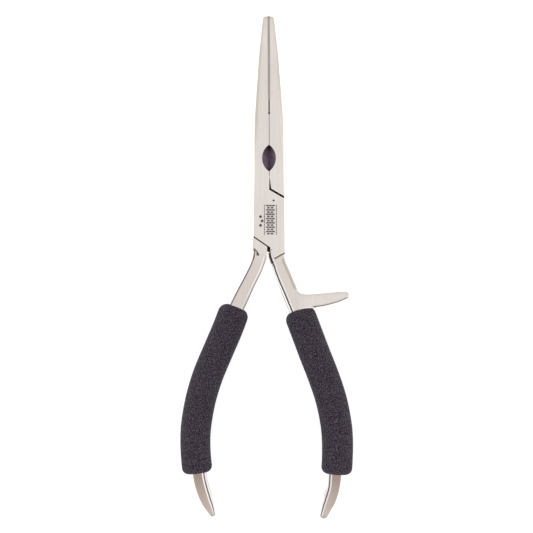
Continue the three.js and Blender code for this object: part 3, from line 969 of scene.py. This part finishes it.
# ---------------------------------------------------------------- the two forgings

HUB_SIDES = 96
PIN_SIDES = 64
RELIEF_SIDES = 20
GROOVE_END_HALF = 0.02  # half width of the opened seam at its lower end
GROOVE_REACH = 3.0  # how far the groove's cutter reaches across the other jaw
FORGING_EDGE = 0.1  # width of the softened edges


def groove(half, side):
    """Opens the seam of one jaw at both faces, as broken tooth edges and a relieved seam."""
    foot_y = SEAM_LOW[1] - SEAM_FOOT
    cut_faces(half, [
        *jaw_edge(side, SEAM_GROOVE, TEETH_GROOVE, RELIEF_WIDTH, ROOT_NOTCH),
        (SEAM_LOW[0] + side * GROOVE_END_HALF, foot_y),
        (-side * GROOVE_REACH, foot_y),
        (-side * GROOVE_REACH, FAR),
    ], SEAM_CORE)


def box_forging(nose):
    """The left jaw, both cheeks with the slot between them, the right arm and its spur."""
    half = copy_of(nose, "box_forging")
    boolean(half, through("cutter", [
        (-FAR, FAR),
        (-FAR, on_line(LOWER_CUT, -SIDE)[1]),
        on_line(LOWER_CUT, -SIDE),
        CROTCH_CORNER,
        *CHEEK_END,
        on_line(UPPER_CUT, SIDE),
        CHEEK_CORNER,
        *reversed(jaw_edge(-1)),
    ]), "INTERSECT")
    groove(half, -1)
    top_x, low_x = CHEEK_CORNER[0], CROTCH_CORNER[0]
    for slot_outline in (
        disc_points(HUB_RADIUS + HUB_CLEARANCE, HUB_SIDES),
        [(top_x, 0.0), (SIDE, 0.0), (SIDE, SIDE), (top_x, SIDE)],
        [(low_x, 0.0), (-SIDE, 0.0), (-SIDE, SLOT_LOW_Y), (low_x, SLOT_LOW_Y)],
    ):
        boolean(half, middle("cutter", slot_outline, 0.0), "DIFFERENCE")
    boolean(half, right_arm(), "UNION")
    boolean(half, finger_spur(), "UNION")
    return half


def neck_between_cheeks(nose):
    """The thin middle layer, from the right jaw round the hub to the left arm."""
    neck = middle("neck", disc_points(HUB_RADIUS, HUB_SIDES), SLOT_CLEARANCE)
    for outline in (
        [(NECK_TOP[-1][0], 0.0), (SIDE, 0.0), (SIDE, NECK_TOP[0][1]), *NECK_TOP],
        [(NECK_RIGHT, 0.0), (-SIDE, 0.0), *NECK_FOOT],
    ):
        boolean(neck, middle("part", outline, SLOT_CLEARANCE), "UNION")
    boolean(neck, nose, "INTERSECT", keep=True)
    return neck


def left_lug(nose):
    """The full-thickness shoulder at the top of the left arm."""
    lug = copy_of(nose, "lug")
    boolean(lug, through("cutter", [
        on_line(LUG_TOP, CROTCH_LEFT),
        on_line(LUG_TOP, -SIDE),
        *LUG_END,
        (CROTCH_LEFT, LUG_LOW_Y),
    ]), "INTERSECT")
    return lug


def tongue_forging(nose):
    """The right jaw, the neck, and the left arm with its lug."""
    half = copy_of(nose, "tongue_forging")
    boolean(half, through("cutter", [
        *jaw_edge(1),
        on_line(SHOULDER, NECK_SIDE),
        on_line(SHOULDER, SIDE),
        (FAR, on_line(SHOULDER, SIDE)[1]),
        (FAR, FAR),
    ]), "INTERSECT")
    groove(half, 1)
    boolean(half, neck_between_cheeks(nose), "UNION")
    boolean(half, left_lug(nose), "UNION")
    boolean(half, left_arm(), "UNION")
    return half


# The hollow below the outer corner of the left lug, its walls and floor painted with shade.
SCOOP = [
    (-6.85, -14.0), (-6.65, -13.75), (-5.45, -15.1), (-4.5, -16.6), (-4.7, -17.25),
    (-5.75, -17.15), (-5.8, -15.4),
]
SCOOP_FLOOR = 2.0  # height of its floor above mid-thickness

RAMP_LINE = ((1.4, -18.35), (7.3, -14.95))
# From the cheek's end down to the arm: distance below the cheek's edge, height, and the slot of
# the strip that starts there. A bright strip with a painted highlight, then a line of painted
# shade and a strip in the tails' darker colour as painted shade.
RAMP = [
    (-0.6, 4.39, STEEL), (-0.15, 4.39, POLISHED_HIGHLIGHT), (0.35, 4.27, PAINTED_SHADE), (0.8, 3.05, TAIL),
    (1.2, 2.98, STEEL), (2.4, 2.74, STEEL), (2.4, 1.5, STEEL), (-0.6, 1.5, STEEL),
]
RAMP_STEPS = 12
RAMP_OUTLINE = [
    (2.6, -14.0), (2.4, -17.0), (2.5, -19.0), (3.4, -22.0),
    (7.4, -22.0), (6.85, -18.5), (6.95, -14.0),
]


def add_cheek_ramps(half):
    """The hollow-ground end of each cheek, falling to the flat of the right arm. Its strips carry
    a painted highlight and painted shade.
    """
    (x0, y0), (x1, y1) = RAMP_LINE
    size = math.hypot(x1 - x0, y1 - y0)
    nx, ny = (y1 - y0) / size, (x0 - x1) / size
    outline = through("outline", RAMP_OUTLINE)
    for side in (1, -1):
        rings = []
        for k in range(RAMP_STEPS + 1):
            f = k / RAMP_STEPS
            x, y = x0 + (x1 - x0) * f, y0 + (y1 - y0) * f
            rings.append([(x + nx * d, y + ny * d, MID_Z + side * h) for d, h, _ in RAMP])
        if side > 0:
            rings.reverse()
        cheek_ramp = loft("ramp", rings, [[slot for _, _, slot in RAMP]] * RAMP_STEPS)
        wear_slots(cheek_ramp)
        boolean(cheek_ramp, outline, "INTERSECT", keep=True)
        boolean(half, cheek_ramp, "UNION")
    drop(outline)


def distance_to(line, x, y):
    """How far a point is from a line that has no ends."""
    (x0, y0), (x1, y1) = line
    return abs((x1 - x0) * (y - y0) - (y1 - y0) * (x - x0)) / math.hypot(x1 - x0, y1 - y0)


def within(value, limits):
    return limits[0] < value < limits[1]


UPRIGHT = 0.3  # a wall's normal leans less than this towards Z
OUTER_SIDE = 4.6  # walls further out than this that face outwards are the object's own sides
TIP_Y = SEAM_TOP[1] - 0.5  # above this walls are the ends of the jaws
SLANTED = (0.06, 0.985)  # square of the normal's Z on a rounded edge
SEAM_WALLS_Y, SEAM_FLOOR_Y = 12.8, 17.3  # the seam's walls and floor lie above these
SEAM_REACH = 0.95  # the teeth lie within this of the seam
FLOOR_SLACK = 0.05
LAYER_SLACK = 0.01
LAYER_Y = (-16.5, 17.0)  # the middle layer of the joint
CUTS_Y, CUTS_HALF_WIDTH = (-17.0, 14.0), 6.6  # the slanted gaps
UPPER_CUT_REACH, LOWER_CUT_REACH = 0.9, 0.6
SCOOP_X, SCOOP_Y, SCOOP_TOP = (-6.9, -4.5), (-17.4, -13.9), 4.35
LUG_EDGE_X, LUG_EDGE_Y = -5.8, (-15.0, -8.5)  # the lug's rounded outer edge


def gap_slot(normal, x, y, height):
    """The slot of a face after where it lies, or None if it keeps its own. Gap walls and floors
    get painted shade, the jaws' rounded edges a painted warm sheen, and the lug's rounded edge
    painted shade.
    """
    upright = abs(normal.z) < UPRIGHT
    if upright and (normal.x * x > OUTER_SIDE or y > TIP_Y):
        return None
    # The scoop's walls and floor are painted shade.
    if within(x, SCOOP_X) and within(y, SCOOP_Y) and height < SCOOP_TOP:
        if upright or abs(height - SCOOP_FLOOR) < FLOOR_SLACK:
            return HOLLOW
    in_seam = upright and y > SEAM_WALLS_Y and abs(x - seam_x(y)) < SEAM_REACH
    in_core = y > SEAM_FLOOR_Y and abs(height - SEAM_CORE) < FLOOR_SLACK
    in_layer = within(y, LAYER_Y) and height < MID_Z - CHEEK + LAYER_SLACK
    near_cut = upright and within(y, CUTS_Y) and abs(x) < CUTS_HALF_WIDTH and (
        distance_to(UPPER_CUT, x, y) < UPPER_CUT_REACH
        or distance_to(LOWER_CUT, x, y) < LOWER_CUT_REACH
    )
    # The walls and floors of the seam, the middle layer and the slanted gaps are painted shade.
    if in_seam or in_core or in_layer or near_cut:
        return GAP
    if not within(normal.z ** 2, SLANTED):
        return None
    # A painted warm sheen on the jaws' rounded edges.
    if y > SEAM_LOW[1]:
        return WARM_SHEEN
    # Painted shade on the lug's rounded outer edge.
    if x < LUG_EDGE_X and within(y, LUG_EDGE_Y):
        return PAINTED_SHADE
    return None


def shade_gaps(half):
    """Paints shade into the walls and floors of the gaps and onto the lug's rounded edge, and a
    warm sheen onto the jaws' rounded edges, by giving these faces their own slots.
    """
    for face in half.data.polygons:
        x, y, z = (v / MM for v in face.center)
        slot = gap_slot(face.normal, x, y, abs(z - MID_Z))
        if slot is not None:
            face.material_index = slot


def finish_forging(half):
    """Bores the rivet's hole, opens the almond and the relief, and softens the edges."""
    bore = disc_points(PIN_RADIUS + PIN_CLEARANCE, PIN_SIDES)
    for outline in (bore, almond(0.0)):
        boolean(half, through("cutter", outline), "DIFFERENCE")
    relief_at = (seam_x(RELIEF_LOW_Y), RELIEF_LOW_Y)
    cut_faces(half, disc_points(RELIEF_HOLE_RADIUS, RELIEF_SIDES, relief_at), SEAM_CORE)
    shade_gaps(half)
    soften_edges(half, FORGING_EDGE)
    smooth(half, degrees=38)


# ---------------------------------------------------------------- rivet and cutter blades


def rivet():
    """The pin of the joint, flush with both cheeks."""
    pin = prism("rivet", disc_points(PIN_RADIUS, PIN_SIDES), 0.0, JOINT_THICK)
    soften_edges(pin, PIN_EDGE)
    smooth(pin, degrees=35)
    return pin


def blade(name, side):
    """A wedge with its edge on the seam, cut to its half of the almond."""
    edge_x = seam_x(CUTTER_MID[1]) + side * BLADE_EDGE_GAP / 2
    root_x = CUTTER_MID[0] + side * CUTTER_HALF_WIDTH
    outline = [(edge_x, -BLADE_EDGE_HALF), (edge_x, BLADE_EDGE_HALF)]
    for k in range(1, BEVEL_STEPS + 1):
        f = k / BEVEL_STEPS
        outline.append((
            edge_x + (root_x - edge_x) * f,
            BLADE_EDGE_HALF + (BLADE_ROOT_HALF - BLADE_EDGE_HALF) * f ** BLADE_HOLLOW,
        ))
    outline += [(x, -z) for x, z in reversed(outline[2:])]
    rings = []
    for k in range(BLADE_SPANS + 1):
        y = CUTTER_MID[1] + BLADE_REACH - 2 * BLADE_REACH * k / BLADE_SPANS
        rings.append([(x, y, MID_Z + z) for x, z in outline])
    if side < 0:
        rings.reverse()
    piece = loft(name, rings)
    bm = bmesh.new()
    bm.from_mesh(piece.data)
    bmesh.ops.recalc_face_normals(bm, faces=bm.faces)
    bm.to_mesh(piece.data)
    bm.free()
    boolean(piece, through("cutter", almond(BLADE_CLEARANCE)), "INTERSECT")
    smooth(piece, degrees=35)
    return piece


# ---------------------------------------------------------------- foam grips

BORE_PER_SPAN = 3
LENGTH_SAMPLES = 600


def by_distance(places):
    """The length of a route, and a function from a distance along it to the curve's t."""
    table = [spline(places, k / LENGTH_SAMPLES) for k in range(LENGTH_SAMPLES + 1)]
    run = [0.0]
    for a, b in zip(table, table[1:]):
        run.append(run[-1] + math.hypot(b[0] - a[0], b[1] - a[1]))

    def at_distance(d):
        low, high = 0, LENGTH_SAMPLES
        while high - low > 1:
            mid = (low + high) // 2
            if run[mid] <= d:
                low = mid
            else:
                high = mid
        return (low + (d - run[low]) / (run[high] - run[low])) / LENGTH_SAMPLES

    return run[-1], at_distance


def sleeve(name, stations, bar, inner_side):
    """A round foam sleeve with rounded ends, bored for the tang inside it."""
    places = [(x, y) for x, y, _ in stations]
    radii = [(r,) for _, _, r in stations]
    length, at_distance = by_distance(places)
    rings = []

    def add_ring(d, inset):
        t = at_distance(min(max(d, 0.0), length))
        radius = spline(radii, t)[0] - GRIP_SKIN - inset
        section = []
        for s in range(GRIP_SIDES):
            turn = -2 * math.pi * s / GRIP_SIDES
            section.append((radius * math.cos(turn), radius * math.sin(turn)))
        rings.append(place_section(section, spline(places, t), heading(places, t)))

    turns = [k / GRIP_ROUND_STEPS * math.pi / 2 for k in range(GRIP_ROUND_STEPS)]
    for turn in turns:
        add_ring(GRIP_TOP_ROUND * (1 - math.cos(turn)), GRIP_TOP_ROUND * (1 - math.sin(turn)))
    straight_length = length - GRIP_TOP_ROUND - GRIP_LOW_ROUND
    count = int(straight_length / GRIP_STEP)
    for k in range(count + 1):
        add_ring(GRIP_TOP_ROUND + k / count * straight_length, 0.0)
    for turn in reversed(turns):
        d = length - GRIP_LOW_ROUND * (1 - math.cos(turn))
        add_ring(d, GRIP_LOW_ROUND * (1 - math.sin(turn)))
    piece = loft(name, rings)
    bore = handle_bar("bore", bar, inner_side, per_span=BORE_PER_SPAN, grow=GRIP_GAP)
    boolean(piece, bore, "DIFFERENCE")
    return piece


# ---------------------------------------------------------------- etched mark

MARK_Z = JOINT_THICK + 0.012
MARK_LEFT, MARK_RIGHT = -2.1, 3.3
MARK_TOP, MARK_LOW = 5.8, -7.4
DASHES = 19
DASH_SIZE = (0.5, 0.46)
COURSES = 14  # of staggered bricks between the two rows of dashes
COURSES_INSET = 0.2
BRICK_SIZE = (1.18, 0.68)
BRICKS_EVEN, BRICKS_ODD = (-0.75, 0.6, 1.95), (-0.3, 1.35)
DIAMONDS = ((-3.9, 0.6), (-3.2, -1.4), (-3.9, -3.4))
DIAMOND_SIDE = 1.15
DOT = (2.05, 7.9)
DOT_SIDE = 0.85


def etched_mark():
    """A made-up pattern of dashes, bricks and diamonds on the front face of the joint."""
    verts = []
    faces = []

    def stroke(x, y, length, width, degrees=0.0):
        turn = math.radians(degrees)
        ux, uy = math.cos(turn), math.sin(turn)
        start = len(verts)
        for along, across in ((-1, -1), (1, -1), (1, 1), (-1, 1)):
            a, b = along * length / 2, across * width / 2
            verts.append((x + a * ux - b * uy, y + a * uy + b * ux, MARK_Z))
        faces.append((start, start + 1, start + 2, start + 3))

    for k in range(DASHES):
        y = MARK_TOP + (MARK_LOW - MARK_TOP) * k / (DASHES - 1)
        for x in (MARK_LEFT, MARK_RIGHT):
            stroke(x, y, *DASH_SIZE)
    top, low = MARK_TOP - COURSES_INSET, MARK_LOW + COURSES_INSET
    for k in range(COURSES):
        y = top + (low - top) * k / (COURSES - 1)
        for x in BRICKS_ODD if k % 2 else BRICKS_EVEN:
            stroke(x, y, *BRICK_SIZE)
    for x, y in DIAMONDS:
        stroke(x, y, DIAMOND_SIDE, DIAMOND_SIDE, 45.0)
    stroke(*DOT, DOT_SIDE, DOT_SIDE, 45.0)
    return new_object("etched_mark", verts, faces)


# ---------------------------------------------------------------- the pieces

nose = nose_blank()
box_half = box_forging(nose)
add_cheek_ramps(box_half)
finish_forging(box_half)
tongue_half = tongue_forging(nose)
cut_faces(tongue_half, SCOOP, SCOOP_FLOOR)
finish_forging(tongue_half)
drop(nose)

left_blade = blade("left_cutter", -1)
right_blade = blade("right_cutter", 1)
pin = rivet()

left_grip = sleeve("left_foam_sleeve", LEFT_GRIP, LEFT_BAR, 1)
right_grip = sleeve("right_foam_sleeve", RIGHT_GRIP, RIGHT_BAR, -1)
(cut_left, cut_left_y), (cut_right, cut_right_y) = GRIP_TOP_CUT
boolean(right_grip, through("cutter", [
    (cut_left, cut_left_y), (cut_left, -FAR), (cut_right, -FAR), (cut_right, cut_right_y),
]), "INTERSECT")
smooth(left_grip, degrees=50)
smooth(right_grip, degrees=50)

mark = etched_mark()

cutter_steel = cutter_material()
foam = foam_material()
dress(pin, steel_material("rivet_steel", (0.745, 0.69, 0.65), 0.2))
dress(left_blade, cutter_steel)
dress(right_blade, cutter_steel)
dress(left_grip, foam)
dress(right_grip, foam)
dress(mark, mark_material())

# ---------------------------------------------------------------- the frame

for piece, body, slot_name, cad_node in (
    (box_half, "box", "steel", "box_half"),
    (tongue_half, "tongue", "steel", "tongue_half"),
    (pin, "box", "pin_steel", "pivot_pin"),
    (left_blade, "box", "cutter_steel", "left_cutter_blade"),
    (right_blade, "tongue", "cutter_steel", "right_cutter_blade"),
    (left_grip, "tongue", "foam", "left_foam_grip"),
    (right_grip, "box", "foam", "right_foam_grip"),
):
    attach(piece, body)
    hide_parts(cad_node)
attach(mark, "box")

# ---------------------------------------------------------------- floor, light, camera

FLOOR_REACH = 3000.0
LIGHT_AIM = (0.0, -0.02, 0.0)
LENS = 150.0
SENSOR = 36.0
FRAME_WIDTH = 242.9  # width of the view at the joint's front face
FRAME_MID = (-1.19, -22.15)

floor_z = CAD_BOX[0][2] / MM
floor = new_object("floor", [
    (x * FLOOR_REACH, y * FLOOR_REACH, floor_z) for x, y in ((-1, -1), (1, -1), (1, 1), (-1, 1))
], [(0, 1, 2, 3)])
dress(floor, floor_material())

world = bpy.data.worlds.new("studio")
bpy.context.scene.world = world
world.use_nodes = True
background = world.node_tree.nodes["Background"]
background.inputs["Color"].default_value = (1.0, 1.0, 1.0, 1.0)
background.inputs["Strength"].default_value = 0.76


def area_light(name, place, size, power):
    """A rectangular light aimed at the pliers. Metres and watts."""
    data = bpy.data.lights.new(name, "AREA")
    data.shape = "RECTANGLE"
    data.size, data.size_y = size
    data.energy = power
    lamp = bpy.data.objects.new(name, data)
    bpy.context.scene.collection.objects.link(lamp)
    lamp.location = place
    towards = Vector(LIGHT_AIM) - Vector(place)
    lamp.rotation_euler = towards.to_track_quat("-Z", "Y").to_euler()


area_light("overhead", (0.0, 0.0, 1.6), (1.1, 1.1), 1.15)
area_light("right_fill", (1.2, -0.1, 0.8), (0.8, 2.2), 2.0)
area_light("left_fill", (-1.2, -0.3, 0.8), (0.8, 1.4), 2.2)

camera_data = bpy.data.cameras.new("camera")
camera_data.lens = LENS
camera_data.sensor_width = SENSOR
camera = bpy.data.objects.new("camera", camera_data)
bpy.context.scene.collection.objects.link(camera)
camera_height = FRAME_WIDTH * LENS / SENSOR + JOINT_THICK
camera.location = (FRAME_MID[0] * MM, FRAME_MID[1] * MM, camera_height * MM)
bpy.context.scene.camera = camera
bpy.context.scene.view_settings.view_transform = "Standard"
bpy.context.scene.view_settings.look = "None"
